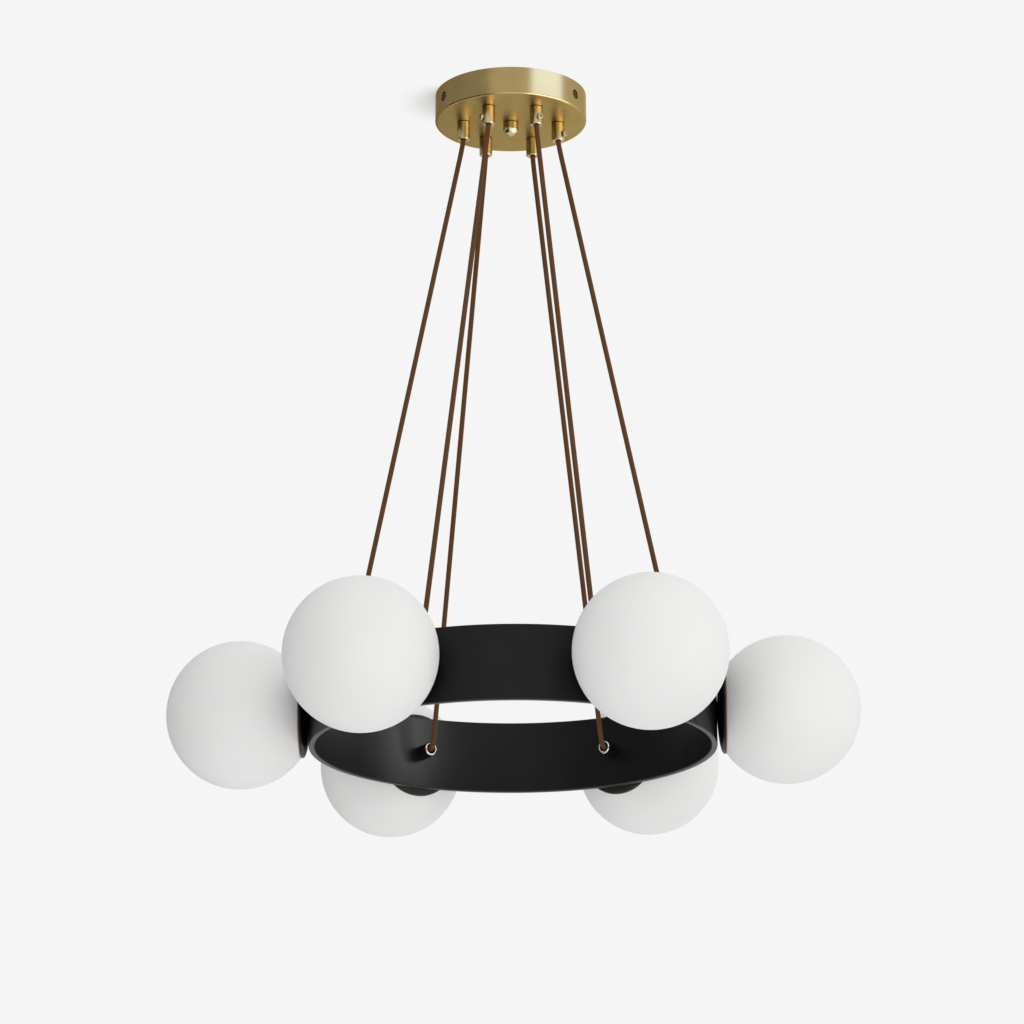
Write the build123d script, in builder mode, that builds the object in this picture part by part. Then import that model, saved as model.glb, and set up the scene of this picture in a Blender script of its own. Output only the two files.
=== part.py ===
from build123d import *

import os
from math import cos, pi, radians, sin, sqrt

# Ring chandelier: a canopy on the ceiling, six cords, a ring band and six globe lamps.
# The origin is the middle of the ceiling face, +Z points up and the first lamp points along +X.
# All sizes are millimetres and all angles are degrees.

# Canopy
canopy_diameter = 160.0
canopy_height = 30.0
canopy_wall = 2.0
canopy_edge_radius = 2.0

# Ceiling bracket
bracket_diameter = 100.0
bracket_thickness = 2.0
bracket_arm_width = 16.0
bracket_arm_gap = 1.0
bracket_tab_length = 22.0
bracket_bend_radius = 1.5
bracket_tab_corner = 3.0
slot_spacing = 60.0
slot_length = 14.0
slot_width = 5.0
cable_hole_diameter = 16.0
cable_hole_distance = 26.0

# Lock screws through the canopy's side wall
lock_angles = (90.0, 210.0, 330.0)
lock_depth = 15.0
lock_recess_diameter = 10.0
lock_recess_depth = 1.4
lock_thread_diameter = 4.0
lock_thread_length = 9.0
lock_head_diameter = 7.4
lock_head_height = 1.2

# Centre stud and its domed knob
stud_diameter = 6.0
stud_engagement = 7.0
knob_diameter = 16.0
knob_length = 14.5

# Cord grips under the canopy, turned a little against the lamps
grip_circle_radius = 50.0
grip_turn = 4.0
grip_diameter = 13.5
grip_length = 20.0
grip_chamfer = 0.8
grip_bore = 6.4
grip_screw_angles = (-30.0, 100.0, 80.0, 120.0, 205.0, -60.0)
grip_screw_height = 7.5
grip_screw_diameter = 3.0
grip_screw_head_diameter = 7.0
grip_screw_head_height = 2.4
grip_screw_stand_off = 0.6

# Threaded stems and their nuts, on the grips and on the bosses
stem_diameter = 10.0
stem_reach = 3.0
nut_across_flats = 14.0
nut_height = 3.0

# Terminal block
terminal_length = 36.0
terminal_width = 16.0
terminal_height = 14.0
terminal_distance = 25.0
terminal_ways = 3
terminal_pitch = 11.0
terminal_entry_diameter = 4.0
terminal_well_diameter = 4.5
terminal_well_depth = 3.5

# Ring band
ring_diameter = 412.0
ring_height = 75.0
ring_wall = 6.0
ring_edge_radius = 1.2
ring_drop = 672.0

# Cord bosses on the ring's inner face
boss_diameter = 15.0
boss_length = 18.0
boss_bore = 7.0
eyelet_diameter = 13.4
eyelet_hole = 8.8
eyelet_sleeve_wall = 0.6
eyelet_sleeve_length = 6.0

# Lamps
lamp_count = 6
globe_diameter = 150.0
glass_wall = 3.0
mouth_depth = 6.6
mouth_rim = 2.5
neck_length = 12.0
neck_wall = 2.2
dish_diameter = 88.0
dish_overhang = 4.0
dish_depth = 7.0
dish_wall = 1.2
collar_wall = 2.5
collar_length = 12.0
washer_thickness = 0.7
washer_width = 2.8
socket_diameter = 22.0
socket_length = 24.0
socket_slot_length = 15.0
socket_slot_width = 7.0
socket_slot_depth = 9.0
bulb_diameter = 16.0
bulb_length = 44.0

# Cords
cord_diameter = 5.2
cord_grip_bend_radius = 40.0
cord_grip_bend_depth = 1.0
cord_eyelet_bend_radius = 5.5
cord_eyelet_bend_reach = 4.5
cord_tail = 3.0
cord_end_reach = 1.5

# Clearances
hole_clearance = 0.2
thread_clearance = 0.05
seat_gap = 0.15
screw_fit_gap = 0.3

# Sizes that follow from the ones above
canopy_radius = canopy_diameter / 2
canopy_floor_z = -canopy_height
canopy_floor_top_z = canopy_floor_z + canopy_wall
tab_outer_reach = canopy_radius - canopy_wall - bracket_arm_gap
recess_floor_reach = canopy_radius - lock_recess_depth
grip_mouth_z = canopy_floor_z - grip_length
stem_hole_radius = stem_diameter / 2 + hole_clearance
grip_stem_top_z = canopy_floor_top_z + nut_height + stem_reach
nut_corner_radius = nut_across_flats / sqrt(3)
ring_radius = ring_diameter / 2
ring_inner_radius = ring_radius - ring_wall
ring_z = -ring_drop
boss_base = sqrt(ring_inner_radius**2 - (boss_diameter / 2) ** 2)
boss_mouth = boss_base - boss_length
dish_radius = dish_diameter / 2
dish_inner_radius = dish_radius - dish_wall
globe_radius = globe_diameter / 2
mouth_face = ring_radius + mouth_depth
mouth_radius = dish_radius - dish_overhang
mouth_bore_radius = mouth_radius - mouth_rim
globe_circle_radius = mouth_face + sqrt(globe_radius**2 - mouth_radius**2)
washer_inner = globe_radius + seat_gap
washer_outer = washer_inner + washer_thickness
lip_seat = washer_outer + seat_gap
collar_outer_radius = mouth_bore_radius - screw_fit_gap
nut_share = nut_corner_radius / dish_inner_radius
nut_seat = ring_radius + dish_depth - (dish_depth - dish_wall) * sqrt(1 - nut_share**2)
socket_seat = nut_seat + nut_height
stem_end = socket_seat + stem_reach
lamp_angles = [360.0 / lamp_count * number for number in range(lamp_count)]
grip_angles = [angle + grip_turn for angle in lamp_angles]

# Each lamp lies on a radial line at the ring's mid height, drawn here for the first lamp
station = Plane(origin=(0, 0, ring_z), x_dir=(1, 0, 0), z_dir=(0, -1, 0))
radial_axis = Axis((0, 0, ring_z), (1, 0, 0))
upright = Plane.XZ

os.makedirs("parts", exist_ok=True)


def save(shape, name):
    shape.label = name
    export_step(shape, f"parts/{name}.step")


def save_at_each_lamp(shape, name):
    for number, angle in enumerate(lamp_angles, start=1):
        save(shape.rotate(Axis.Z, angle), f"{name}_{number}")


def save_as_group(shapes, name):
    save(Compound(children=shapes), name)


def outward(angle):
    return Vector(cos(radians(angle)), sin(radians(angle)), 0)


def radial_plane(angle, reach, height):
    return Plane(outward(angle) * reach + Vector(0, 0, height), x_dir=(0, 0, 1), z_dir=outward(angle))


# Canopy: a shallow cup, open towards the ceiling
with BuildPart() as canopy:
    with BuildSketch(Plane.XY.offset(canopy_floor_z)):
        Circle(canopy_radius)
    extrude(amount=canopy_height)
    fillet(canopy.faces().sort_by(Axis.Z)[0].edges(), canopy_edge_radius)
    with BuildSketch(Plane.XY.offset(canopy_floor_top_z)):
        Circle(canopy_radius - canopy_wall)
    extrude(amount=canopy_height, mode=Mode.SUBTRACT)
    with BuildSketch(Plane.XY.offset(canopy_floor_z)):
        with PolarLocations(grip_circle_radius, lamp_count, start_angle=grip_turn):
            Circle(stem_hole_radius)
        Circle(stud_diameter / 2 + hole_clearance)
    extrude(amount=canopy_wall, mode=Mode.SUBTRACT)
    for angle in lock_angles:
        with BuildSketch(radial_plane(angle, recess_floor_reach, -lock_depth)):
            Circle(lock_recess_diameter / 2)
        extrude(amount=canopy_wall, mode=Mode.SUBTRACT)
        with BuildSketch(radial_plane(angle, recess_floor_reach, -lock_depth)):
            Circle(lock_thread_diameter / 2 + hole_clearance)
        extrude(amount=-canopy_wall, mode=Mode.SUBTRACT)
save(canopy.part, "canopy")

# Ceiling bracket: a round plate with three arms that turn down inside the canopy's wall
with BuildPart() as bracket:
    with BuildSketch(Plane.XY.offset(-bracket_thickness)):
        Circle(bracket_diameter / 2)
        for angle in lock_angles:
            with Locations(Location((0, 0, 0), (0, 0, angle))):
                Rectangle(tab_outer_reach, bracket_arm_width, align=(Align.MIN, Align.CENTER))
    extrude(amount=bracket_thickness)
    for angle in lock_angles:
        with BuildSketch(radial_plane(angle, tab_outer_reach, 0)) as tab:
            Rectangle(bracket_tab_length, bracket_arm_width, align=(Align.MAX, Align.CENTER))
            fillet(tab.vertices().sort_by(Axis.X)[:2], bracket_tab_corner)
        extrude(amount=-bracket_thickness)
        bend_outside = outward(angle) * tab_outer_reach
        bend_inside = outward(angle) * (tab_outer_reach - bracket_thickness) - Vector(0, 0, bracket_thickness)
        fillet(bracket.edges().sort_by_distance(bend_inside)[0], bracket_bend_radius)
        fillet(bracket.edges().sort_by_distance(bend_outside)[0], bracket_bend_radius + bracket_thickness)
        with BuildSketch(radial_plane(angle, tab_outer_reach, -lock_depth)):
            Circle(lock_thread_diameter / 2)
        extrude(amount=-bracket_thickness, mode=Mode.SUBTRACT)
    with BuildSketch(Plane.XY.offset(-bracket_thickness)):
        with Locations((-slot_spacing / 2, 0), (slot_spacing / 2, 0)):
            SlotOverall(slot_length, slot_width)
        with Locations((0, -cable_hole_distance)):
            Circle(cable_hole_diameter / 2)
    extrude(amount=bracket_thickness, mode=Mode.SUBTRACT)
save(bracket.part, "ceiling_bracket")

# Lock screws, from the recess in the canopy's wall into the bracket's tabs
lock_screws = []
for angle in lock_angles:
    with BuildPart() as lock_screw:
        with BuildSketch(radial_plane(angle, recess_floor_reach, -lock_depth)):
            Circle(lock_head_diameter / 2)
        extrude(amount=lock_head_height)
        head_top = lock_screw.faces().sort_by_distance(Vector(0, 0, -lock_depth))[-1]
        fillet(head_top.edges(), lock_head_height / 3)
        with BuildSketch(radial_plane(angle, recess_floor_reach, -lock_depth)):
            Circle(lock_thread_diameter / 2 - thread_clearance)
        extrude(amount=-lock_thread_length)
    lock_screws.append(lock_screw.part)
save_as_group(lock_screws, "lock_screws")

# Centre stud, welded under the bracket, and the domed knob that closes it below the canopy
with BuildPart() as stud:
    with BuildSketch(Plane.XY.offset(-bracket_thickness)):
        Circle(stud_diameter / 2)
    extrude(amount=canopy_floor_z - stud_engagement + bracket_thickness)
save(stud.part, "centre_stud")

knob_radius = knob_diameter / 2
knob_neck_z = canopy_floor_z - knob_length + knob_radius
with BuildPart() as knob:
    with BuildSketch(upright):
        with BuildLine():
            Polyline((0, canopy_floor_z), (knob_radius, canopy_floor_z), (knob_radius, knob_neck_z))
            RadiusArc((knob_radius, knob_neck_z), (0, canopy_floor_z - knob_length), knob_radius)
            Line((0, canopy_floor_z - knob_length), (0, canopy_floor_z))
        make_face()
    revolve(axis=Axis.Z)
    with BuildSketch(Plane.XY.offset(canopy_floor_z)):
        Circle(stud_diameter / 2 + thread_clearance)
    extrude(amount=-stud_engagement - hole_clearance, mode=Mode.SUBTRACT)
save(knob.part, "centre_knob")

# Terminal block, hung under the bracket behind the stud
with BuildPart() as terminal:
    with BuildSketch(Plane.XY.offset(-bracket_thickness)):
        with Locations((0, terminal_distance)):
            RectangleRounded(terminal_length, terminal_width, terminal_width / 8)
    extrude(amount=-terminal_height)
    with BuildSketch(Plane.XZ.offset(-terminal_distance - terminal_width / 2)):
        with Locations((0, -bracket_thickness - terminal_height / 2)):
            with GridLocations(terminal_pitch, 0, terminal_ways, 1):
                Circle(terminal_entry_diameter / 2)
    extrude(amount=terminal_width, mode=Mode.SUBTRACT)
    with BuildSketch(Plane.XY.offset(-bracket_thickness - terminal_height)):
        with Locations((0, terminal_distance)):
            with GridLocations(terminal_pitch, terminal_width / 2, terminal_ways, 2):
                Circle(terminal_well_diameter / 2)
    extrude(amount=terminal_well_depth, mode=Mode.SUBTRACT)
save(terminal.part, "terminal_block")

# Cord grip: a turned cylinder with a threaded stem through the canopy's floor
with BuildPart() as grip:
    with BuildSketch(Plane.XY.offset(grip_mouth_z)):
        with Locations((grip_circle_radius, 0)):
            Circle(grip_diameter / 2)
    extrude(amount=grip_length)
    chamfer(grip.faces().sort_by(Axis.Z)[0].edges(), grip_chamfer)
    with BuildSketch(Plane.XY.offset(canopy_floor_z)):
        with Locations((grip_circle_radius, 0)):
            Circle(stem_diameter / 2)
    extrude(amount=grip_stem_top_z - canopy_floor_z)
    with BuildSketch(Plane.XY.offset(grip_mouth_z)):
        with Locations((grip_circle_radius, 0)):
            Circle(grip_bore / 2)
    extrude(amount=grip_stem_top_z - grip_mouth_z, mode=Mode.SUBTRACT)

grip_screw_z = grip_mouth_z + grip_screw_height
grip_screws = []
for number, grip_angle in enumerate(grip_angles, start=1):
    screw_middle = outward(grip_angle) * grip_circle_radius + Vector(0, 0, grip_screw_z)
    side = Plane(screw_middle, x_dir=(0, 0, 1), z_dir=outward(grip_screw_angles[number - 1]))
    with BuildPart() as drilled_grip:
        add(grip.part.rotate(Axis.Z, grip_angle))
        with BuildSketch(side):
            Circle(grip_screw_diameter / 2)
        extrude(amount=grip_diameter, mode=Mode.SUBTRACT)
    save(drilled_grip.part, f"cord_grip_{number}")
    head_reach = grip_diameter / 2 + grip_screw_stand_off
    tip_reach = cord_diameter / 2 + seat_gap
    with BuildPart() as grip_screw:
        with BuildSketch(side.offset(tip_reach)):
            Circle(grip_screw_diameter / 2 - thread_clearance)
        extrude(amount=head_reach - tip_reach)
        with BuildSketch(side.offset(head_reach)):
            Circle(grip_screw_head_diameter / 2)
        extrude(amount=grip_screw_head_height)
    grip_screws.append(grip_screw.part)
save_as_group(grip_screws, "grip_screws")

# Nuts that hold the grips, on the canopy's floor
with BuildPart() as grip_nut:
    with BuildSketch(Plane.XY.offset(canopy_floor_top_z)):
        with Locations((grip_circle_radius, 0)):
            RegularPolygon(nut_across_flats / 2, 6, major_radius=False)
            Circle(stem_diameter / 2 + thread_clearance, mode=Mode.SUBTRACT)
    extrude(amount=nut_height)
save_as_group([grip_nut.part.rotate(Axis.Z, angle) for angle in grip_angles], "grip_nuts")

# Ring band: a flat bar rolled into a hoop, drilled at mid height for each lamp
with BuildPart() as ring:
    with BuildSketch(Plane.XY.offset(ring_z - ring_height / 2)):
        Circle(ring_radius)
        Circle(ring_inner_radius, mode=Mode.SUBTRACT)
    extrude(amount=ring_height)
    rims = ring.faces().filter_by(Axis.Z)
    fillet(rims.edges(), ring_edge_radius)
    for angle in lamp_angles:
        with BuildSketch(radial_plane(angle, ring_inner_radius - ring_wall, ring_z)):
            Circle(stem_hole_radius)
        extrude(amount=ring_wall * 3, mode=Mode.SUBTRACT)
save(ring.part, "ring_band")

# Cord boss: seated on the ring's inner face, with a stem that runs out through ring and dish
sleeve_radius = eyelet_hole / 2 + eyelet_sleeve_wall
with BuildPart() as boss:
    with BuildSketch(station):
        with Locations((boss_mouth, 0)):
            Rectangle(boss_length, boss_diameter / 2, align=(Align.MIN, Align.MIN))
        with Locations((boss_base, 0)):
            Rectangle(stem_end - boss_base, stem_diameter / 2, align=(Align.MIN, Align.MIN))
        with Locations((boss_mouth, 0)):
            bore_length = stem_end - boss_mouth
            Rectangle(bore_length, boss_bore / 2, align=(Align.MIN, Align.MIN), mode=Mode.SUBTRACT)
            sleeve_depth = eyelet_sleeve_length + seat_gap
            sleeve_bore = sleeve_radius + thread_clearance
            Rectangle(sleeve_depth, sleeve_bore, align=(Align.MIN, Align.MIN), mode=Mode.SUBTRACT)
    revolve(axis=radial_axis)
save_at_each_lamp(boss.part, "cord_boss")

# Eyelet: a rolled ring round the boss's mouth, on a sleeve pressed into it
lip_radius = (eyelet_diameter - eyelet_hole) / 4
with BuildPart() as eyelet:
    with BuildSketch(station):
        with Locations((boss_mouth, eyelet_hole / 2 + lip_radius)):
            Circle(lip_radius)
        with Locations((boss_mouth, eyelet_hole / 2)):
            Rectangle(boss_length, 2 * lip_radius, align=(Align.MIN, Align.MIN), mode=Mode.SUBTRACT)
            Rectangle(eyelet_sleeve_length, eyelet_sleeve_wall, align=(Align.MIN, Align.MIN))
    revolve(axis=radial_axis)
save_as_group([eyelet.part.rotate(Axis.Z, angle) for angle in lamp_angles], "eyelets")

# Dish: a spun dome against the ring, with a lip for the washer and a collar for the globe's neck
dish_middle = ring_radius + dish_depth
collar_share = collar_outer_radius / dish_radius
collar_root = dish_middle - dish_depth * sqrt(1 - collar_share**2) + dish_wall / 4
with BuildPart() as dish:
    with BuildSketch(station):
        with Locations((dish_middle, dish_inner_radius)):
            Rectangle(dish_depth, dish_wall, align=(Align.MIN, Align.MIN))
        with Locations((globe_circle_radius, 0)):
            Circle(lip_seat, mode=Mode.SUBTRACT)
        with BuildLine():
            EllipticalCenterArc((dish_middle, 0), dish_depth, dish_radius, 90, arc_size=90)
            EllipticalCenterArc((dish_middle, 0), dish_depth - dish_wall, dish_inner_radius, 90, arc_size=90)
            Line((ring_radius, 0), (ring_radius + dish_wall, 0))
            Line((dish_middle, dish_radius), (dish_middle, dish_inner_radius))
        make_face()
        with Locations((collar_root, collar_outer_radius)):
            collar_reach = mouth_face + collar_length - collar_root
            Rectangle(collar_reach, collar_wall, align=(Align.MIN, Align.MAX))
        with Locations((ring_radius, 0)):
            Rectangle(dish_depth, stem_hole_radius, align=(Align.MIN, Align.MIN), mode=Mode.SUBTRACT)
    revolve(axis=radial_axis)
save_at_each_lamp(dish.part, "globe_dish")

# Nuts on the boss stems, inside the dishes
with BuildPart() as holder_nut:
    with BuildSketch(radial_plane(0, nut_seat, ring_z)):
        RegularPolygon(nut_across_flats / 2, 6, major_radius=False)
        Circle(stem_diameter / 2 + thread_clearance, mode=Mode.SUBTRACT)
    extrude(amount=nut_height)
save_as_group([holder_nut.part.rotate(Axis.Z, angle) for angle in lamp_angles], "holder_nuts")

# Lamp socket: a ceramic holder screwed on the stem, with a slot for the bulb's base
socket_front = socket_seat + socket_length
with BuildPart() as socket:
    with BuildSketch(radial_plane(0, socket_seat, ring_z)):
        Circle(socket_diameter / 2)
    extrude(amount=socket_length)
    with BuildSketch(radial_plane(0, socket_seat, ring_z)):
        Circle(stem_diameter / 2 + thread_clearance)
    extrude(amount=stem_reach * 2, mode=Mode.SUBTRACT)
    with BuildSketch(radial_plane(0, socket_front, ring_z)):
        RectangleRounded(socket_slot_width, socket_slot_length, socket_slot_width / 4)
    extrude(amount=-socket_slot_depth, mode=Mode.SUBTRACT)
save_at_each_lamp(socket.part, "lamp_socket")

# Bulb: a capsule on a flat base that plugs into the socket's slot
bulb_radius = bulb_diameter / 2
bulb_start = socket_front + seat_gap
base_width = socket_slot_width - 2 * screw_fit_gap
base_length = socket_slot_length - 2 * screw_fit_gap
bulb_shoulder = bulb_start + bulb_length - bulb_radius
with BuildPart() as bulb:
    with BuildSketch(station):
        with BuildLine():
            Polyline((bulb_start, 0), (bulb_start, bulb_radius), (bulb_shoulder, bulb_radius))
            RadiusArc((bulb_shoulder, bulb_radius), (bulb_shoulder + bulb_radius, 0), bulb_radius)
            Line((bulb_shoulder + bulb_radius, 0), (bulb_start, 0))
        make_face()
    revolve(axis=radial_axis)
    with BuildSketch(radial_plane(0, bulb_start, ring_z)):
        RectangleRounded(base_width, base_length, base_width / 4)
    extrude(amount=-socket_slot_depth)
save_at_each_lamp(bulb.part, "bulb")

# Washer: a thin ring between the dish's lip and the globe
washer_outer_edge = dish_radius - hole_clearance
washer_middle = (washer_outer_edge * 2 - washer_width) / 2
with BuildPart() as washer:
    with BuildSketch(station):
        with Locations((globe_circle_radius, 0)):
            Circle(washer_outer)
            Circle(washer_inner, mode=Mode.SUBTRACT)
        with Locations((globe_circle_radius, washer_middle)):
            Rectangle(washer_outer, washer_width, align=(Align.MAX, Align.CENTER), mode=Mode.INTERSECT)
    revolve(axis=radial_axis)
save_at_each_lamp(washer.part, "globe_washer")

# Globe: a hollow ball of opal glass, ground flat at its mouth, with a neck turned inwards
with BuildPart() as globe:
    with BuildSketch(station):
        with Locations((globe_circle_radius, 0)):
            Circle(globe_radius)
            Circle(globe_radius - glass_wall, mode=Mode.SUBTRACT)
        with Locations((mouth_face, mouth_bore_radius)):
            Rectangle(neck_length, neck_wall, align=(Align.MIN, Align.MIN))
        with Locations((mouth_face, 0)):
            Rectangle(globe_radius, globe_diameter, align=(Align.MAX, Align.CENTER), mode=Mode.SUBTRACT)
            Rectangle(neck_length, 2 * mouth_bore_radius, align=(Align.MIN, Align.CENTER), mode=Mode.SUBTRACT)
        with Locations((globe_circle_radius, 0)):
            Rectangle(globe_diameter, globe_radius, align=(Align.CENTER, Align.MAX), mode=Mode.SUBTRACT)
    revolve(axis=radial_axis)
save_at_each_lamp(globe.part, "globe")

# Cords: straight down through the grip, one tight run, then over the eyelet and out through the boss
grip_middle = outward(grip_turn) * grip_circle_radius
cord_points = [
    grip_middle + Vector(0, 0, grip_stem_top_z + cord_tail),
    grip_middle + Vector(0, 0, grip_mouth_z - cord_grip_bend_depth),
    Vector(boss_mouth - cord_eyelet_bend_reach, 0, ring_z),
    Vector(stem_end + cord_end_reach, 0, ring_z),
]
cord_radii = [cord_grip_bend_radius, cord_eyelet_bend_radius]
with BuildPart() as cord:
    with BuildLine():
        cord_route = FilletPolyline(*cord_points, radius=cord_radii)
    with BuildSketch(Plane(cord_route @ 0, z_dir=cord_route % 0)):
        Circle(cord_diameter / 2)
    sweep(path=cord_route)
cord_section = pi * cord_diameter**2 / 4
print("cord bend radii", cord_radii, "length", round(cord_route.length, 2))
print("cord volume over section times length", round(cord.part.volume / cord_section / cord_route.length, 5))
save_at_each_lamp(cord.part, "cord")
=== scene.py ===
import math
import bmesh
import bpy
from mathutils import Matrix, Vector


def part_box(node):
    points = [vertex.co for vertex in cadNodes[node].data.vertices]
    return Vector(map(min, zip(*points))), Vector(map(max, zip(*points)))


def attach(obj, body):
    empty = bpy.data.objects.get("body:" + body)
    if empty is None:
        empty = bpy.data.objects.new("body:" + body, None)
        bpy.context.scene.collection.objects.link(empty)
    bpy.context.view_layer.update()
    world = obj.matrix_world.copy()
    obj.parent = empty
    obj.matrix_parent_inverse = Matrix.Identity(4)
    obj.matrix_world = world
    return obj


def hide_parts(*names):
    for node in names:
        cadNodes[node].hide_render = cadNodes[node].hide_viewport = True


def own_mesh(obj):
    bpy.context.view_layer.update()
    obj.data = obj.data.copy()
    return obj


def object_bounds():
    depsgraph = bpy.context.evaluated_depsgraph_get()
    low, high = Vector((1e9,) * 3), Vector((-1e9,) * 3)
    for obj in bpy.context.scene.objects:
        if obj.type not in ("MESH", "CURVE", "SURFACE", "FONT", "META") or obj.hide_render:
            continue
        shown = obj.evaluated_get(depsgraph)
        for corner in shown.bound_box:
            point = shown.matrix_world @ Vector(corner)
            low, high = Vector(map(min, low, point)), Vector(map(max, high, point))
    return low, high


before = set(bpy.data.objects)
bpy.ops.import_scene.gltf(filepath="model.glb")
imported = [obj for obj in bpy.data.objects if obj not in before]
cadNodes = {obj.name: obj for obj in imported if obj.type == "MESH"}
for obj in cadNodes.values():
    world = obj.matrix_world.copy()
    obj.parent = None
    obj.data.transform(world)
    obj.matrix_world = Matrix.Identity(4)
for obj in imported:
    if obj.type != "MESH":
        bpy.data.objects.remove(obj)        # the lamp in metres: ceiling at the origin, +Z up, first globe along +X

cadLow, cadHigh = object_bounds()
lampNumbers = range(1, 7)


def middleOf(node):
    low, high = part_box(node)
    return (low + high) / 2


def outwardOf(number):
    towards = middleOf(f"globe_{number}")
    return Vector((towards.x, towards.y, 0)).normalized()


ringMiddle = middleOf("ring_band")
ringLow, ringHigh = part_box("ring_band")
print("frame loaded:", len(cadNodes), "nodes, ring middle at", round(ringMiddle.z, 4))


# small helpers for the modelling below
def deselectAll():
    if bpy.context.object and bpy.context.object.mode != "OBJECT":
        bpy.ops.object.mode_set(mode="OBJECT")
    bpy.ops.object.select_all(action="DESELECT")


def activate(obj):
    deselectAll()
    obj.select_set(True)
    bpy.context.view_layer.objects.active = obj


def selectFaces(obj, wanted):        # edit mode, faces picked by a test on normal or place
    mesh = bmesh.from_edit_mesh(obj.data)
    bpy.ops.mesh.select_mode(type="FACE")
    bpy.ops.mesh.select_all(action="DESELECT")
    for face in mesh.faces:
        face.select_set(wanted(face))
    mesh.select_flush(True)
    bmesh.update_edit_mesh(obj.data)


def cutWith(obj, cutter):
    activate(obj)
    cut = obj.modifiers.new("cut", "BOOLEAN")
    cut.operation = "DIFFERENCE"
    cut.solver = "EXACT"
    cut.object = cutter
    bpy.ops.object.modifier_apply(modifier=cut.name)
    bpy.data.objects.remove(cutter)


def joinAs(name, objs):
    activate(objs[0])
    for obj in objs:
        obj.select_set(True)
    bpy.ops.object.join()
    joined = bpy.context.object
    joined.name = joined.data.name = name
    return joined


def copyTo(master, matrix):          # a copy with its own mesh, its place in the mesh
    copy = master.copy()
    copy.data = master.data.copy()
    copy.data.transform(matrix)
    bpy.context.scene.collection.objects.link(copy)
    return copy


def facing(place, direction, spin=0.0):        # puts local +Z along direction
    turn = Vector(direction).to_track_quat("Z", "Y").to_matrix().to_4x4()
    return Matrix.Translation(place) @ turn @ Matrix.Rotation(math.radians(spin), 4, "Z")


def dress(obj, material, body, slot, *stoodFor):
    obj.data.materials.clear()
    obj.data.materials.append(material)
    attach(obj, body)
    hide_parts(*stoodFor)


# camera, at the photograph's viewing angle from below
cameraSetup = {
    "place": (0.1082, -3.7364, -1.5895),
    "turn": 1.662,       # degrees, towards the left
    "lookUp": 16.808,
    "roll": -0.216,
    "lens": 133.68,
    "sensor": 36.0,
    "farthest": 60,      # metres
}


def placeCamera():
    data = bpy.data.cameras.new("camera")
    data.sensor_width = cameraSetup["sensor"]
    data.lens = cameraSetup["lens"]
    data.clip_end = cameraSetup["farthest"]
    camera = bpy.data.objects.new("camera", data)
    bpy.context.scene.collection.objects.link(camera)
    camera.matrix_world = (
        Matrix.Translation(cameraSetup["place"])
        @ Matrix.Rotation(math.radians(cameraSetup["turn"]), 4, "Z")
        @ Matrix.Rotation(math.radians(90 + cameraSetup["lookUp"]), 4, "X")
        @ Matrix.Rotation(math.radians(cameraSetup["roll"]), 4, "Z")
    )
    bpy.context.scene.camera = camera


placeCamera()
print("camera placed")


# materials: node helpers
def emptyMaterial(name):             # its third result is the socket that a shader goes into
    material = bpy.data.materials.new(name)
    material.use_nodes = True
    tree = material.node_tree
    tree.nodes.clear()
    output = tree.nodes.new("ShaderNodeOutputMaterial")
    return material, tree, output.inputs["Surface"]


def startMaterial(name):
    material, tree, surface = emptyMaterial(name)
    shader = tree.nodes.new("ShaderNodeBsdfPrincipled")
    tree.links.new(shader.outputs["BSDF"], surface)
    return material, tree, shader


def addNode(tree, kind, inputs, **settings):
    node = tree.nodes.new("ShaderNode" + kind)
    for key, value in settings.items():
        setattr(node, key, value)
    for socket, value in inputs.items():
        if isinstance(value, bpy.types.NodeSocket):
            tree.links.new(value, node.inputs[socket])
        else:
            node.inputs[socket].default_value = value
    return node


def objectCoords(tree):
    return addNode(tree, "TexCoord", {}).outputs["Object"]


def compute(tree, operation, first, second=0.0):
    return addNode(tree, "Math", {0: first, 1: second}, operation=operation).outputs[0]


def noise(tree, vector, scale, detail=3.0, roughness=0.55):
    values = {"Vector": vector, "Scale": scale, "Detail": detail, "Roughness": roughness}
    return addNode(tree, "TexNoise", values).outputs["Fac"]


def ramp(tree, factor, span, dark, light):   # dark up to the start of span, light from its end
    node = addNode(tree, "ValToRGB", {"Fac": factor})
    for element, place, colour in zip(node.color_ramp.elements, span, (dark, light)):
        element.position = place
        element.color = (*colour, 1)
    return node.outputs["Color"]


def spanned(tree, factor, low, high):        # factor from 0..1 onto low..high
    values = {"Value": factor, "To Min": low, "To Max": high}
    return addNode(tree, "MapRange", values).outputs["Result"]


def relief(tree, shader, height, depth, strength=1.0):
    node = addNode(tree, "Bump", {"Height": height, "Distance": depth, "Strength": strength})
    tree.links.new(node.outputs["Normal"], shader.inputs["Normal"])


def feed(tree, shader, **sockets):
    for name, value in sockets.items():
        socket = shader.inputs[name.replace("_", " ")]
        if isinstance(value, bpy.types.NodeSocket):
            tree.links.new(value, socket)
        else:
            socket.default_value = value


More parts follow.
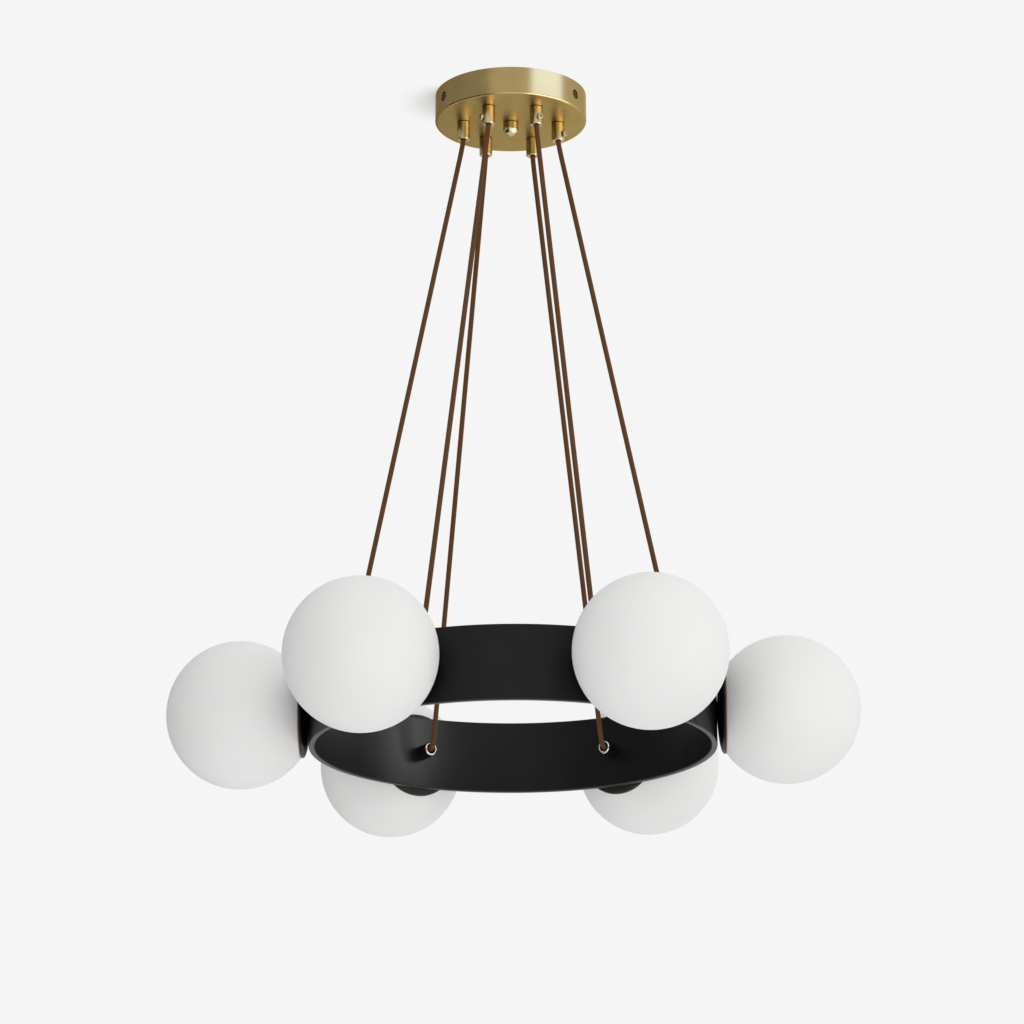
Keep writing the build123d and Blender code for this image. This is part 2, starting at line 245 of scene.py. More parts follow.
brassFinish = {
    "shade": (0.390, 0.283, 0.118),
    "light": (0.430, 0.317, 0.136),
    "roughness": (0.19, 0.29),
    "floorRoughness": (0.33, 0.43),
    "grazing": (0.74, 0.63, 0.43, 1),        # colour of the metal seen edge on
    "lines": 2600,       # turning marks per metre
    "lineDepth": 0.000010,
    "drift": 24,         # scale of the unevenness in the marks
    "waver": 9.0,        # how far it moves them
    "cloud": 38,
    "span": (0.3, 0.72),
    "blurShares": (0.7, 0.3),        # of the marks and of the clouds
    "shadow": (0.030, 0.018, 0.008),         # in the screw recesses and in the seam at the floor
    "seam": 0.0006,
    "wall": 0.0025,      # the canopy's wall and a little more
    "recessDepths": (0.0002, 0.0018),        # from the wall's outside
    "recessReach": 0.006,
}
# painted light: a paler copy of the canopy's brass, so that the grips and the knob, which mirror the canopy's
# darker floor, look brighter lit
paintedLightBrassFinish = {
    **brassFinish,
    "shade": (0.550, 0.450, 0.265),
    "light": (0.610, 0.505, 0.305),
    "lineDepth": 0.000003,
}
domeFinish = {**paintedLightBrassFinish, "lineDepth": 0.0}
canopyLow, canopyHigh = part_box("canopy")
canopyReach = canopyHigh.x


def satinBrass(name, finish, spun):  # spun: marks run round the lamp's own axis, on walls and floor
    material, tree, shader = startMaterial(name)
    place = objectCoords(tree)
    parts = addNode(tree, "SeparateXYZ", {0: place})
    flat = addNode(tree, "CombineXYZ", {0: parts.outputs[0], 1: parts.outputs[1], 2: 0.0}).outputs[0]
    reach = addNode(tree, "VectorMath", {0: flat}, operation="LENGTH").outputs["Value"]
    drift = noise(tree, place, finish["drift"])
    lineSpace = addNode(tree, "CombineXYZ", {
        0: compute(tree, "MULTIPLY", reach, finish["lines"] if spun else 0.0),
        1: compute(tree, "MULTIPLY", parts.outputs[2], finish["lines"]),
        2: compute(tree, "MULTIPLY", drift, finish["waver"]),
    }).outputs[0]
    marks = noise(tree, lineSpace, 1.0, detail=4.0, roughness=0.7)
    cloud = noise(tree, place, finish["cloud"], detail=5.0)
    metal = ramp(tree, cloud, finish["span"], finish["shade"], finish["light"])
    markShare, cloudShare = finish["blurShares"]
    fromMarks = compute(tree, "MULTIPLY", marks, markShare)
    fromCloud = compute(tree, "MULTIPLY", cloud, cloudShare)
    blur = compute(tree, "ADD", fromMarks, fromCloud)
    wallBlur = spanned(tree, blur, *finish["roughness"])
    if spun:                         # recesses lie between the wall's two faces, round mid height
        floorBlur = spanned(tree, blur, *finish["floorRoughness"])
        onWall = compute(tree, "GREATER_THAN", reach, canopyReach - finish["wall"])
        wallBlur = addNode(tree, "Mix", {0: onWall, 2: floorBlur, 3: wallBlur}).outputs[0]
        shallow, deep = finish["recessDepths"]
        belowFace = compute(tree, "LESS_THAN", reach, canopyReach - shallow)
        aboveInside = compute(tree, "GREATER_THAN", reach, canopyReach - deep)
        inWall = compute(tree, "MULTIPLY", belowFace, aboveInside)
        offMiddle = compute(tree, "ABSOLUTE", compute(tree, "SUBTRACT", parts.outputs[2], canopyLow.z / 2))
        dark = compute(tree, "MULTIPLY", inWall, compute(tree, "LESS_THAN", offMiddle, finish["recessReach"]))
    else:
        dark = compute(tree, "GREATER_THAN", parts.outputs[2], canopyLow.z - finish["seam"])
    shaded = addNode(tree, "MixRGB", {"Fac": dark, "Color1": metal, "Color2": (*finish["shadow"], 1)})
    feed(tree, shader, Metallic=1.0, Specular_Tint=finish["grazing"])
    feed(tree, shader, Base_Color=shaded.outputs["Color"], Roughness=wallBlur)
    relief(tree, shader, marks, finish["lineDepth"])
    return material


coatFinish = {
    "black": (0.0055, 0.0055, 0.0055),
    "lighter": (0.0082, 0.0081, 0.0079),
    "worn": (0.045, 0.041, 0.036),
    "roughness": (0.33, 0.43),
    "cloud": 30,
    "span": (0.3, 0.75),
    "wear": 160,         # scale of the rubbed spots along the rims
    "rim": 0.0016,
    "grain": 2400,
    "grainDepth": 0.000012,
    "grainStrength": 0.6,
    "specular": 0.18,
}


def powderCoat():
    material, tree, shader = startMaterial("blackPowderCoat")
    place = objectCoords(tree)
    grain = noise(tree, place, coatFinish["grain"], detail=2.0)
    cloud = noise(tree, place, coatFinish["cloud"], detail=4.0)
    height = addNode(tree, "SeparateXYZ", {0: place}).outputs[2]
    away = compute(tree, "ABSOLUTE", compute(tree, "SUBTRACT", height, ringMiddle.z))
    halfHeight = (ringHigh.z - ringLow.z) / 2
    edgeValues = {"Value": away, "From Min": halfHeight - coatFinish["rim"], "From Max": halfHeight}
    edge = addNode(tree, "MapRange", edgeValues).outputs["Result"]
    rubbed = compute(tree, "MULTIPLY", edge, noise(tree, place, coatFinish["wear"], detail=4.0))
    paint = ramp(tree, cloud, coatFinish["span"], coatFinish["black"], coatFinish["lighter"])
    mix = addNode(tree, "MixRGB", {"Fac": rubbed, "Color1": paint, "Color2": (*coatFinish["worn"], 1)})
    feed(tree, shader, Base_Color=mix.outputs["Color"])
    feed(tree, shader, Roughness=spanned(tree, cloud, *coatFinish["roughness"]))
    feed(tree, shader, Specular_IOR_Level=coatFinish["specular"])
    relief(tree, shader, grain, coatFinish["grainDepth"], coatFinish["grainStrength"])
    return material


opalFinish = {
    "body": (0.850, 0.848, 0.840),
    "lighter": (0.875, 0.874, 0.868),
    "roughness": (0.42, 0.5),
    "specular": 0.22,
    "glow": 0.3,         # share of light that spreads inside the glass
    "spread": 0.005,     # how far it spreads
    "spreadTint": (1.0, 0.95, 0.88),
    "cloud": 11,
    "span": (0.3, 0.7),
    "etch": 1800,
    "etchDepth": 0.00001,
    "etchStrength": 0.5,
}


def opalGlass():
    material, tree, shader = startMaterial("satinOpalGlass")
    place = objectCoords(tree)
    cloud = noise(tree, place, opalFinish["cloud"], detail=3.0)
    etch = noise(tree, place, opalFinish["etch"], detail=2.0)
    glass = ramp(tree, cloud, opalFinish["span"], opalFinish["body"], opalFinish["lighter"])
    feed(tree, shader, Base_Color=glass)
    feed(tree, shader, Roughness=spanned(tree, cloud, *opalFinish["roughness"]))
    feed(tree, shader, Specular_IOR_Level=opalFinish["specular"])
    feed(tree, shader, Subsurface_Weight=opalFinish["glow"], Subsurface_Scale=opalFinish["spread"])
    feed(tree, shader, Subsurface_Radius=opalFinish["spreadTint"])
    relief(tree, shader, etch, opalFinish["etchDepth"], opalFinish["etchStrength"])
    return material


platingFinish = {
    "tone": (0.86, 0.86, 0.85),
    "dull": (0.70, 0.70, 0.69),
    "roughness": (0.12, 0.26),
    "cloud": 260,
    "span": (0.3, 0.65),
    "grain": 1400,
    "grainDepth": 0.00001,
    "grainStrength": 0.4,
}
nickelFinish = {
    **platingFinish,
    "tone": (0.66, 0.58, 0.45),
    "dull": (0.36, 0.30, 0.22),
    "roughness": (0.18, 0.32),
}
# painted shade: the lock screws' heads are made dark and dull brown to stand for the shade in the canopy's recesses
recessShadeFinish = {
    **platingFinish,
    "tone": (0.115, 0.080, 0.052),
    "dull": (0.055, 0.038, 0.024),
    "roughness": (0.3, 0.45),
}


def platedSteel(name, finish):
    material, tree, shader = startMaterial(name)
    place = objectCoords(tree)
    cloud = noise(tree, place, finish["cloud"], detail=4.0)
    feed(tree, shader, Metallic=1.0)
    feed(tree, shader, Base_Color=ramp(tree, cloud, finish["span"], finish["dull"], finish["tone"]))
    feed(tree, shader, Roughness=spanned(tree, cloud, *finish["roughness"]))
    grain = noise(tree, place, finish["grain"])
    relief(tree, shader, grain, finish["grainDepth"], finish["grainStrength"])
    return material


zincFinish = {
    "pale": (0.38, 0.385, 0.385),
    "dark": (0.26, 0.265, 0.27),
    "spangle": 190,
    "span": (0.0, 1.0),
    "roughness": (0.48, 0.62),
    "grain": 900,
    "grainDepth": 0.00002,
    "grainStrength": 0.5,
}


def zincSteel():
    material, tree, shader = startMaterial("zincPlatedSteel")
    place = objectCoords(tree)
    spangle = addNode(tree, "TexVoronoi", {"Vector": place, "Scale": zincFinish["spangle"]})
    tone = addNode(tree, "SeparateColor", {0: spangle.outputs["Color"]}).outputs[0]
    feed(tree, shader, Metallic=1.0)
    metal = ramp(tree, tone, zincFinish["span"], zincFinish["dark"], zincFinish["pale"])
    feed(tree, shader, Base_Color=metal)
    feed(tree, shader, Roughness=spanned(tree, tone, *zincFinish["roughness"]))
    grain = noise(tree, place, zincFinish["grain"], detail=4.0)
    relief(tree, shader, grain, zincFinish["grainDepth"], zincFinish["grainStrength"])
    return material


clothFinish = {
    "dark": (0.046, 0.017, 0.0065),
    "thread": (0.172, 0.074, 0.031),
    "strandPairs": 8,    # diamonds round the cord
    "threads": 3,        # threads side by side in one strand
    "ribShare": 0.35,    # of the relief, from single threads
    "crownShare": 0.65,  # of the relief, from whole strands
    "depth": 0.00022,
    "fuzz": 900,
    "fuzzSpan": (0.7, 1.3),
    "span": (0.05, 0.75),
    "roughness": 0.82,
    "sheen": 0.05,
    "sheenRoughness": 0.5,
    "specular": 0.12,
}


def braidedCloth():
    material, tree, shader = startMaterial("brownBraidedCloth")
    parts = addNode(tree, "SeparateXYZ", {0: addNode(tree, "TexCoord", {}).outputs["UV"]})
    aroundCord, alongCord = parts.outputs[0], parts.outputs[1]
    pairs = clothFinish["strandPairs"]
    rising = compute(tree, "MULTIPLY", compute(tree, "ADD", aroundCord, alongCord), pairs)
    falling = compute(tree, "MULTIPLY", compute(tree, "SUBTRACT", aroundCord, alongCord), pairs)

    def bow(value):                  # 0 at the edges of a diamond, 1 in its middle
        return compute(tree, "ABSOLUTE", compute(tree, "SINE", compute(tree, "MULTIPLY", value, math.pi)))

    halfCell = 0.5       # keeps the checker clear of a change of cell in its third direction
    cells = addNode(tree, "CombineXYZ", {0: rising, 1: falling, 2: halfCell}).outputs[0]
    checker = addNode(tree, "TexChecker", {"Vector": cells, "Scale": 1.0}).outputs["Fac"]
    across = clothFinish["threads"]
    ribsRising = bow(compute(tree, "MULTIPLY", rising, across))
    ribsFalling = bow(compute(tree, "MULTIPLY", falling, across))
    ribs = addNode(tree, "Mix", {0: checker, 2: ribsRising, 3: ribsFalling}).outputs[0]
    crown = compute(tree, "MULTIPLY", bow(rising), bow(falling))
    fromRibs = compute(tree, "MULTIPLY", ribs, clothFinish["ribShare"])
    fromCrown = compute(tree, "MULTIPLY", crown, clothFinish["crownShare"])
    height = compute(tree, "ADD", fromRibs, fromCrown)
    fuzz = noise(tree, objectCoords(tree), clothFinish["fuzz"], detail=4.0)
    tone = compute(tree, "MULTIPLY", height, spanned(tree, fuzz, *clothFinish["fuzzSpan"]))
    weave = ramp(tree, tone, clothFinish["span"], clothFinish["dark"], clothFinish["thread"])
    feed(tree, shader, Base_Color=weave)
    feed(tree, shader, Roughness=clothFinish["roughness"], Specular_IOR_Level=clothFinish["specular"])
    feed(tree, shader, Sheen_Weight=clothFinish["sheen"], Sheen_Roughness=clothFinish["sheenRoughness"])
    relief(tree, shader, height, clothFinish["depth"])
    return material


grainFinishes = {
    "brownWasherRubber": {
        "dark": (0.19, 0.075, 0.03),
        "light": (0.27, 0.11, 0.045),
        "grain": 1500,
        "roughness": (0.5, 0.65),
        "depth": 0.00003,
    },
    "glazedCeramic": {
        "dark": (0.74, 0.73, 0.70),
        "light": (0.82, 0.81, 0.78),
        "grain": 600,
        "roughness": (0.15, 0.3),
        "depth": 0.00002,
    },
    "frostedBulbGlass": {
        "dark": (0.82, 0.81, 0.78),
        "light": (0.88, 0.87, 0.84),
        "grain": 1600,
        "roughness": (0.35, 0.5),
        "depth": 0.00001,
    },
    "creamNylon": {
        "dark": (0.66, 0.64, 0.58),
        "light": (0.72, 0.70, 0.65),
        "grain": 1300,
        "roughness": (0.45, 0.6),
        "depth": 0.00002,
    },
}
grainShared = {"grainsPerCloud": 12, "span": (0.3, 0.7), "strength": 0.6}


def plainGrain(name):
    finish = grainFinishes[name]
    material, tree, shader = startMaterial(name)
    place = objectCoords(tree)
    cloud = noise(tree, place, finish["grain"] / grainShared["grainsPerCloud"], detail=4.0)
    feed(tree, shader, Base_Color=ramp(tree, cloud, grainShared["span"], finish["dark"], finish["light"]))
    feed(tree, shader, Roughness=spanned(tree, cloud, *finish["roughness"]))
    relief(tree, shader, noise(tree, place, finish["grain"]), finish["depth"], grainShared["strength"])
    return material


spunBrass = satinBrass("spunSatinBrass", brassFinish, True)
turnedBrass = satinBrass("turnedSatinBrass", paintedLightBrassFinish, False)
domedBrass = satinBrass("domedSatinBrass", domeFinish, False)
coat = powderCoat()
opal = opalGlass()
plating = platedSteel("brightPlating", platingFinish)
warmNickel = platedSteel("warmNickel", nickelFinish)
recessShadePlating = platedSteel("recessShadePlating", recessShadeFinish)
zinc = zincSteel()
cloth = braidedCloth()
rubber = plainGrain("brownWasherRubber")
ceramic = plainGrain("glazedCeramic")
frosted = plainGrain("frostedBulbGlass")
nylon = plainGrain("creamNylon")

nodeFinish = {        # the first matching start of a node's name gives its finish
    "canopy": spunBrass,
    "centre_knob": domedBrass,
    "cord_grip": turnedBrass,
    "ring_band": coat,
    "cord_boss": coat,
    "globe_dish": coat,
    "globe_washer": rubber,
    "globe": opal,
    "eyelets": plating,
    "lock_screws": recessShadePlating,
    "grip_screws": warmNickel,
    "ceiling_bracket": zinc,
    "centre_stud": zinc,
    "grip_nuts": zinc,
    "holder_nuts": zinc,
    "terminal_block": nylon,
    "lamp_socket": ceramic,
    "bulb": frosted,
    "cord": cloth,
}
for nodeName, node in cadNodes.items():
    finish = next(nodeFinish[start] for start in nodeFinish if nodeName.startswith(start))
    node.data.materials.clear()
    node.data.materials.append(finish)
print("finishes made:", len(bpy.data.materials))


# cords: one route, the same for all six, that swings from the grip's place into the boss's radial plane
cordSetup = {
    "route": [           # reach from the lamp's axis and height
        (0.0500, -0.0190),
        (0.0500, -0.0430),
        (0.0500, -0.0510),
        (0.0562, -0.0824),       # six diameters down the tight run
        (0.1711, -0.6416),       # six diameters before the eyelet
        (0.177359, -0.6720),
        (0.1868, -0.6714),       # inside the boss, just above its middle
        (0.214804, -0.6720),
    ],
    "diameter": 0.0052,
    "length": 0.702,
    "gripMouth": -0.050,
    "exitHeight": -0.046,
    "sides": 20,
    "smoothness": 20,    # points per span of the line
}
freeHeight = cordSetup["gripMouth"] - ringMiddle.z


def cordLine(outward, grip):         # points along the smooth line of one cord
    data = bpy.data.curves.new("cordLine", "CURVE")
    data.dimensions = "3D"
    spline = data.splines.new("NURBS")
    route = cordSetup["route"]
    swing = Vector((grip.x, grip.y, 0)) - outward * route[0][0]
    spline.points.add(len(route) - 1)
    for point, (reach, height) in zip(spline.points, route):
        share = min(1, max(0, (height - ringMiddle.z) / freeHeight))
        point.co = (*(outward * reach + swing * share).xy, height, 1)
    spline.order_u = 3
    spline.use_endpoint_u = True
    spline.resolution_u = cordSetup["smoothness"]
    line = bpy.data.objects.new("cordLine", data)
    mesh = bpy.data.meshes.new_from_object(line)
    points = [vertex.co.copy() for vertex in mesh.vertices]
    bpy.data.meshes.remove(mesh)
    bpy.data.objects.remove(line)
    return points


def cordTube(name, points, sideways):        # the line stays near an upright plane, square to sideways
    mesh = bmesh.new()
    uvLayer = mesh.loops.layers.uv.new("braid")
    sides, radius = cordSetup["sides"], cordSetup["diameter"] / 2
    rings, reached = [], [0.0]
    for index, point in enumerate(points):
        before, after = points[max(index - 1, 0)], points[min(index + 1, len(points) - 1)]
        along = (after - before).normalized()
        upright = along.cross(sideways).normalized()
        level = upright.cross(along)
        if index:
            reached.append(reached[-1] + (point - points[index - 1]).length)
        angles = [2 * math.pi * side / sides for side in range(sides)]
        rings.append([
            mesh.verts.new(point + radius * (math.cos(a) * level + math.sin(a) * upright)) for a in angles
        ])
    girth = 2 * math.pi * radius
    for index in range(len(points) - 1):
        for side in range(sides):
            other = (side + 1) % sides
            corners = [
                (rings[index][side], side, reached[index]),
                (rings[index][other], side + 1, reached[index]),
                (rings[index + 1][other], side + 1, reached[index + 1]),
                (rings[index + 1][side], side, reached[index + 1]),
            ]
            face = mesh.faces.new([corner[0] for corner in corners])
            face.smooth = True
            for loop, (_, turn, length) in zip(face.loops, corners):
                loop[uvLayer].uv = (turn / sides, length / girth)
    mesh.faces.new(rings[0][::-1])
    mesh.faces.new(rings[-1])
    bmesh.ops.recalc_face_normals(mesh, faces=mesh.faces)
    data = bpy.data.meshes.new(name)
    mesh.to_mesh(data)
    mesh.free()
    tube = bpy.data.objects.new(name, data)
    bpy.context.scene.collection.objects.link(tube)
    return tube


for number in lampNumbers:
    outward = outwardOf(number)
    mouth = middleOf(f"cord_grip_{number}")
    points = cordLine(outward, mouth)
    cord = cordTube(f"clothCord{number}", points, outward.cross(Vector((0, 0, 1))))
    dress(cord, cloth, "ceiling", "cord_cloth", f"cord_{number}")
    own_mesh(cord)
print("cords laid:", len(lampNumbers))


# cross-head screws: three through the canopy's wall, one in each cord grip
screwShape = {           # shares of the head's width or height, apart from the counts and the angle
    "sides": 32,
    "crown": 0.42,
    "crownSteps": 5,
    "recessSpan": 0.66,
    "recessWidth": 0.17,
    "recessDepth": 0.6,
    "recessTaper": 0.55,
    "tip": 0.8,          # of the shank's width
    "smoothAngle": 35,
}
nearlyLevel = 0.9        # a normal's height, past which a face counts as facing up or down
lockScrew = {
    "angles": (90, 210, 330),
    "height": -0.015,
    "reach": 0.0786,     # floor of the canopy's round recess
    "head": (0.0074, 0.0012),
    "shank": (0.0039, 0.009),
    "spins": (20, 48, 10),
}
gripScrew = {
    "angles": (-30, 100, 80, 120, 205, -60),
    "height": -0.0425,
    "reach": 0.00735,    # underside of the head, from the grip's middle
    "head": (0.0070, 0.0024),
    "shank": (0.0029, 0.0045),
    "spins": (12, 40, 65, 25, 5, 33),
}


def facesUp(face):
    return face.normal.z > nearlyLevel


def facesDown(face):
    return face.normal.z < -nearlyLevel


def crossHeadScrew(head, shank):
    (headWidth, headHeight), (shankWidth, shankLength) = head, shank
    deselectAll()
    bpy.ops.mesh.primitive_cylinder_add(
        vertices=screwShape["sides"], radius=headWidth / 2, depth=headHeight, location=(0, 0, headHeight / 2)
    )
    screw = bpy.context.object
    bpy.ops.object.transform_apply(location=True, rotation=True, scale=True)
    bpy.ops.object.mode_set(mode="EDIT")
    selectFaces(screw, facesUp)
    crown = headHeight * screwShape["crown"]
    bpy.ops.mesh.bevel(offset=crown, segments=screwShape["crownSteps"], affect="EDGES")
    selectFaces(screw, facesDown)
    bpy.ops.mesh.inset(thickness=(headWidth - shankWidth) / 2)
    bpy.ops.mesh.extrude_region_move(TRANSFORM_OT_translate={"value": (0, 0, -shankLength)})
    bpy.ops.transform.resize(value=(screwShape["tip"], screwShape["tip"], 1))
    bpy.ops.object.mode_set(mode="OBJECT")
    for turn in (0, 90):             # the two arms of the cross, narrowing downwards
        deselectAll()
        bpy.ops.mesh.primitive_cube_add(size=1, location=(0, 0, headHeight))
        arm = bpy.context.object
        depth = headHeight * screwShape["recessDepth"]
        arm.scale = (headWidth * screwShape["recessSpan"], headWidth * screwShape["recessWidth"], 2 * depth)
        arm.rotation_euler.z = math.radians(turn)
        bpy.ops.object.transform_apply(location=False, rotation=True, scale=True)
        bpy.ops.object.transform_apply(location=True, rotation=False, scale=False)
        bpy.ops.object.mode_set(mode="EDIT")
        selectFaces(arm, facesDown)
        taper = screwShape["recessTaper"]
        bpy.ops.transform.resize(value=(taper, taper, 1), center_override=(0, 0, headHeight))
        bpy.ops.object.mode_set(mode="OBJECT")
        cutWith(screw, arm)
    activate(screw)
    bpy.ops.object.shade_smooth_by_angle(angle=math.radians(screwShape["smoothAngle"]))
    return screw


def screwsAt(name, master, places):
    copies = [copyTo(master, matrix) for matrix in places]
    bpy.data.objects.remove(master)
    return joinAs(name, copies)


def levelAt(angle):
    return Vector((math.cos(math.radians(angle)), math.sin(math.radians(angle)), 0))


lockPlaces = [
    facing(levelAt(angle) * lockScrew["reach"] + Vector((0, 0, lockScrew["height"])), levelAt(angle), spin)
    for angle, spin in zip(lockScrew["angles"], lockScrew["spins"])
]
lockScrews = screwsAt("lockScrews", crossHeadScrew(lockScrew["head"], lockScrew["shank"]), lockPlaces)
dress(lockScrews, recessShadePlating, "ceiling", "silver", "lock_screws")

gripPlaces = []
for number, angle, spin in zip(lampNumbers, gripScrew["angles"], gripScrew["spins"]):
    grip = middleOf(f"cord_grip_{number}")
    place = Vector((grip.x, grip.y, gripScrew["height"])) + levelAt(angle) * gripScrew["reach"]
    gripPlaces.append(facing(place, levelAt(angle), spin))
gripScrews = screwsAt("gripScrews", crossHeadScrew(gripScrew["head"], gripScrew["shank"]), gripPlaces)
dress(gripScrews, warmNickel, "ceiling", "silver", "grip_screws")
print("screws modelled:", len(lockPlaces) + len(gripPlaces))


# light, background and floor
studio = {
    "paper": (0.915, 0.915, 0.914),
    "roomLight": (0.882, 0.878, 0.870),
    "softboxes": [       # turn, distance, height, size, power, shown in reflections
        (59, 3.2, 1.36, (3.1, 0.8), 13, False),
        (2, 2.7, -1.85, (3.0, 1.8), 16, True),
        (100, 3.0, -0.90, (2.5, 1.8), 4, True),
        (0, 0.02, -2.30, (4.0, 4.0), 9, True),
    ],
    "greyCards": [       # turn, distance, height, size, tone
        (-54, 3.0, 0.0, (2.6, 3.6), 0.47),
        (-97, 3.0, 0.0, (2.6, 3.6), 0.43),
        (-140, 3.0, 0.0, (2.6, 3.6), 0.43),
        (-145, 0.95, -0.35, (1.1, 0.7), 0.40),
    ],
    "darkCard": (-68, 1.25, -1.20, (2.6, 1.7), 0.02),       # in reflections only
    "sheenCards": [      # in reflections only, and only in nodes whose names start so
        (("canopy",), (59, 3.1, 1.36, (3.1, 0.8), (1.50, 2.25, 4.50))),
        (("ring_band",), (67, 3.2, 0.06, (1.7, 0.6), (17.0, 17.0, 17.0))),
        (("canopy", "centre_knob", "cord_grip"), (62, 1.25, -1.05, (1.7, 1.7), (3.6, 3.6, 3.6))),
    ],
    "floorHeight": -2.4,
    "floorSize": 80,
    "floorPaint": (0.8, 0.8, 0.8, 1),
    "floorRoughness": 0.8,
    "floorTone": 0.953,  # with its own shading added, the floor is as pale as the paper
    "floorShow": 0.85,   # the rest is the floor's own shading, which keeps the shadow
    "ceilingReach": 0.16,
    "ceilingSides": 96,
    "ceilingGap": 0.0006,        # above the canopy
    "ceilingTone": 0.78,         # how bright the lit ceiling is away from the canopy
    "shadeMiddle": (-0.072, 0.017, 0),       # the ceiling shows only here, as the canopy's soft shadow
    "shadeReach": (0.022, 0.060),
}


def lightWorld():
    world = bpy.data.worlds.new("room")
    bpy.context.scene.world = world
    world.use_nodes = True
    tree = world.node_tree
    tree.nodes.clear()
    rays = addNode(tree, "LightPath", {})
    seen = compute(tree, "MAXIMUM", rays.outputs["Is Camera Ray"], rays.outputs["Is Glossy Ray"])
    seen = compute(tree, "MAXIMUM", seen, rays.outputs["Is Transmission Ray"])
    paper = addNode(tree, "Background", {"Color": (*studio["paper"], 1), "Strength": 1.0})
    room = addNode(tree, "Background", {"Color": (*studio["roomLight"], 1), "Strength": 1.0})
    both = addNode(tree, "MixShader", {0: seen, 1: room.outputs[0], 2: paper.outputs[0]})
    output = tree.nodes.new("ShaderNodeOutputWorld")
    tree.links.new(both.outputs[0], output.inputs["Surface"])


def areaLamp(name, place, aim, size, power, reflected):
    data = bpy.data.lights.new(name, "AREA")
    data.shape = "RECTANGLE"
    data.size, data.size_y = size
    data.energy = power
    lamp = bpy.data.objects.new(name, data)
    lamp.location = place
    lamp.rotation_euler = (aim - place).to_track_quat("-Z", "Y").to_euler()
    lamp.visible_camera = False
    lamp.visible_glossy = reflected
    bpy.context.scene.collection.objects.link(lamp)


def layFloor():
    deselectAll()
    bpy.ops.mesh.primitive_plane_add(size=studio["floorSize"], location=(0, 0, studio["floorHeight"]))
    floor = bpy.context.object
    floor.name = "paleFloor"
    material, tree, shader = startMaterial("paleFloor")
    feed(tree, shader, Base_Color=studio["floorPaint"], Roughness=studio["floorRoughness"])
    rays = addNode(tree, "LightPath", {})
    seen = compute(tree, "MAXIMUM", rays.outputs["Is Camera Ray"], rays.outputs["Is Glossy Ray"])
    paper = addNode(tree, "Emission", {"Color": (1, 1, 1, 1), "Strength": studio["floorTone"]})
    share = compute(tree, "MULTIPLY", seen, studio["floorShow"])
    mix = addNode(tree, "MixShader", {0: share, 1: shader.outputs[0], 2: paper.outputs[0]})
    tree.links.new(mix.outputs[0], tree.nodes["Material Output"].inputs["Surface"])
    floor.data.materials.append(material)


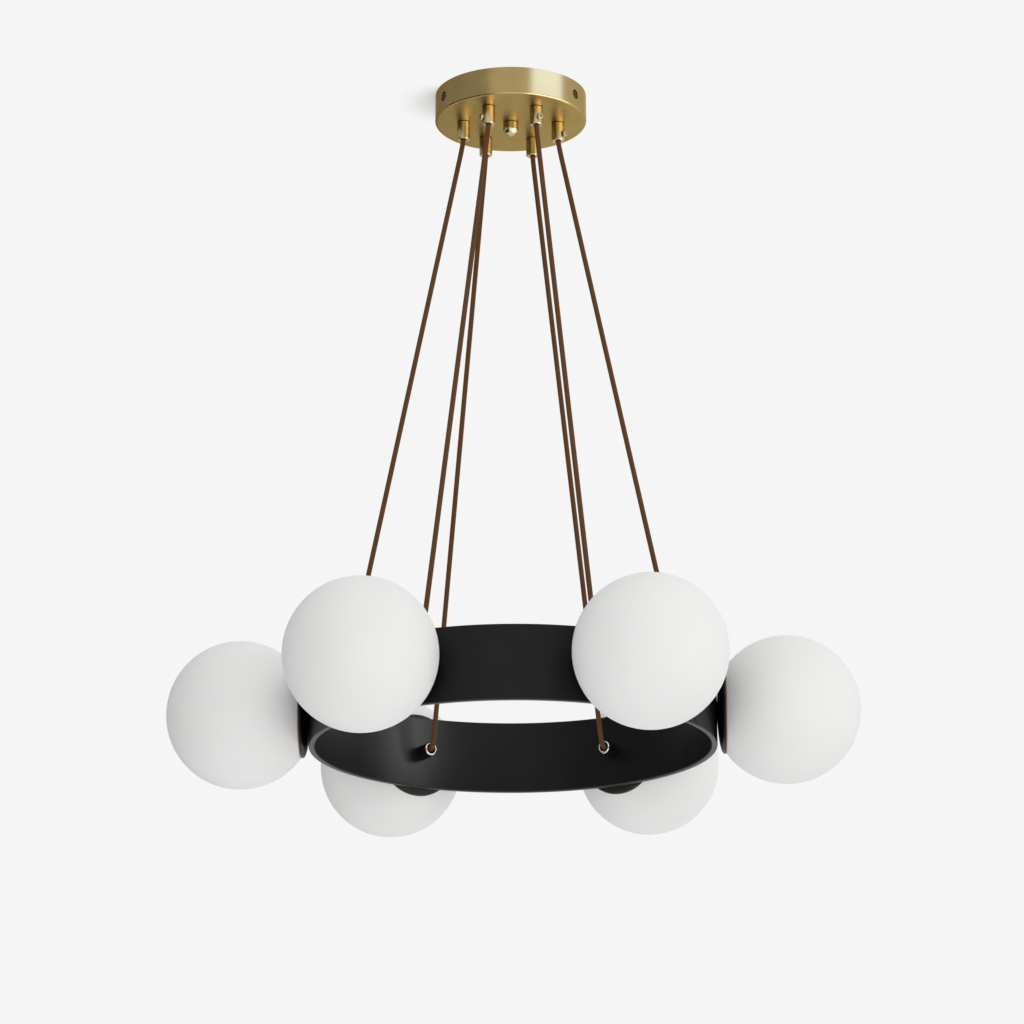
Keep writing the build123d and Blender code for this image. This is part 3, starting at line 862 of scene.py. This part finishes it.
def hangCeiling():                   # seen from below only
    deselectAll()
    bpy.ops.mesh.primitive_circle_add(
        vertices=studio["ceilingSides"], radius=studio["ceilingReach"], fill_type="NGON",
        location=(0, 0, studio["ceilingGap"]), rotation=(math.pi, 0, 0),
    )
    ceiling = bpy.context.object
    ceiling.name = "paleCeiling"
    bpy.ops.object.transform_apply(location=True, rotation=True, scale=True)
    material, tree, surface = emptyMaterial("paleCeiling")
    ends = {0: objectCoords(tree), 1: studio["shadeMiddle"]}
    reach = addNode(tree, "VectorMath", ends, operation="DISTANCE").outputs["Value"]
    full, none = studio["shadeReach"]
    fadeValues = {"Value": reach, "From Min": full, "From Max": none, "To Min": 1.0, "To Max": 0.0}
    share = addNode(tree, "MapRange", fadeValues, interpolation_type="SMOOTHSTEP").outputs["Result"]
    paperTone = studio["paper"][0]
    left = compute(tree, "SUBTRACT", paperTone, compute(tree, "MULTIPLY", share, studio["ceilingTone"]))
    paper = addNode(tree, "Emission", {"Color": (1, 1, 1, 1), "Strength": left})
    white = addNode(tree, "CombineColor", {0: share, 1: share, 2: share}).outputs[0]
    matte = addNode(tree, "BsdfDiffuse", {"Color": white})
    both = addNode(tree, "AddShader", {0: paper.outputs[0], 1: matte.outputs[0]})
    clear = tree.nodes.new("ShaderNodeBsdfTransparent")
    behind = addNode(tree, "NewGeometry", {}).outputs["Backfacing"]
    mix = addNode(tree, "MixShader", {0: behind, 1: both.outputs[0], 2: clear.outputs[0]})
    tree.links.new(mix.outputs[0], surface)
    ceiling.data.materials.append(material)
    ceiling.visible_diffuse = ceiling.visible_glossy = False
    ceiling.visible_shadow = ceiling.visible_transmission = False


def around(turn, distance, height):  # a place round the lamp, turned to the right from the camera's side
    angle = math.radians(turn)
    return Vector((math.sin(angle) * distance, -math.cos(angle) * distance, height))


def hangCard(name, turn, distance, height, size, tone):
    deselectAll()
    bpy.ops.mesh.primitive_plane_add(size=1)
    card = bpy.context.object
    card.name = name
    card.scale = (*size, 1)
    card.rotation_euler = (math.radians(90), 0, math.radians(turn))
    card.location = around(turn, distance, height)
    bpy.ops.object.transform_apply(location=True, rotation=True, scale=True)
    material, tree, surface = emptyMaterial(name)
    colour = tone if isinstance(tone, tuple) else (tone, tone, tone)
    glow = addNode(tree, "Emission", {"Color": (*colour, 1), "Strength": 1.0})
    tree.links.new(glow.outputs[0], surface)
    card.data.materials.append(material)
    card.visible_camera = card.visible_shadow = card.visible_transmission = False
    return card


def shineOn(starts, card):           # every other piece sees through the card
    card.visible_diffuse = False
    tree = card.active_material.node_tree
    clear = tree.nodes.new("ShaderNodeBsdfTransparent")
    both = addNode(tree, "AddShader", {0: tree.nodes["Emission"].outputs[0], 1: clear.outputs[0]})
    tree.links.new(both.outputs[0], tree.nodes["Material Output"].inputs["Surface"])
    receivers = bpy.data.collections.new(card.name)
    for nodeName, node in cadNodes.items():
        if nodeName.startswith(starts):
            receivers.objects.link(node)
    card.light_linking.receiver_collection = receivers


lightWorld()
middle = (cadLow + cadHigh) / 2
for index, (turn, distance, height, *rest) in enumerate(studio["softboxes"]):
    areaLamp(f"softbox{index + 1}", around(turn, distance, height), middle, *rest)
for index, values in enumerate(studio["greyCards"]):
    hangCard(f"greyCard{index + 1}", *values)
hangCard("darkCard", *studio["darkCard"]).visible_diffuse = False
for index, (starts, values) in enumerate(studio["sheenCards"]):
    shineOn(starts, hangCard(f"sheenCard{index + 1}", *values))
layFloor()
hangCeiling()
bpy.context.scene.view_settings.view_transform = "Standard"
print("light set")
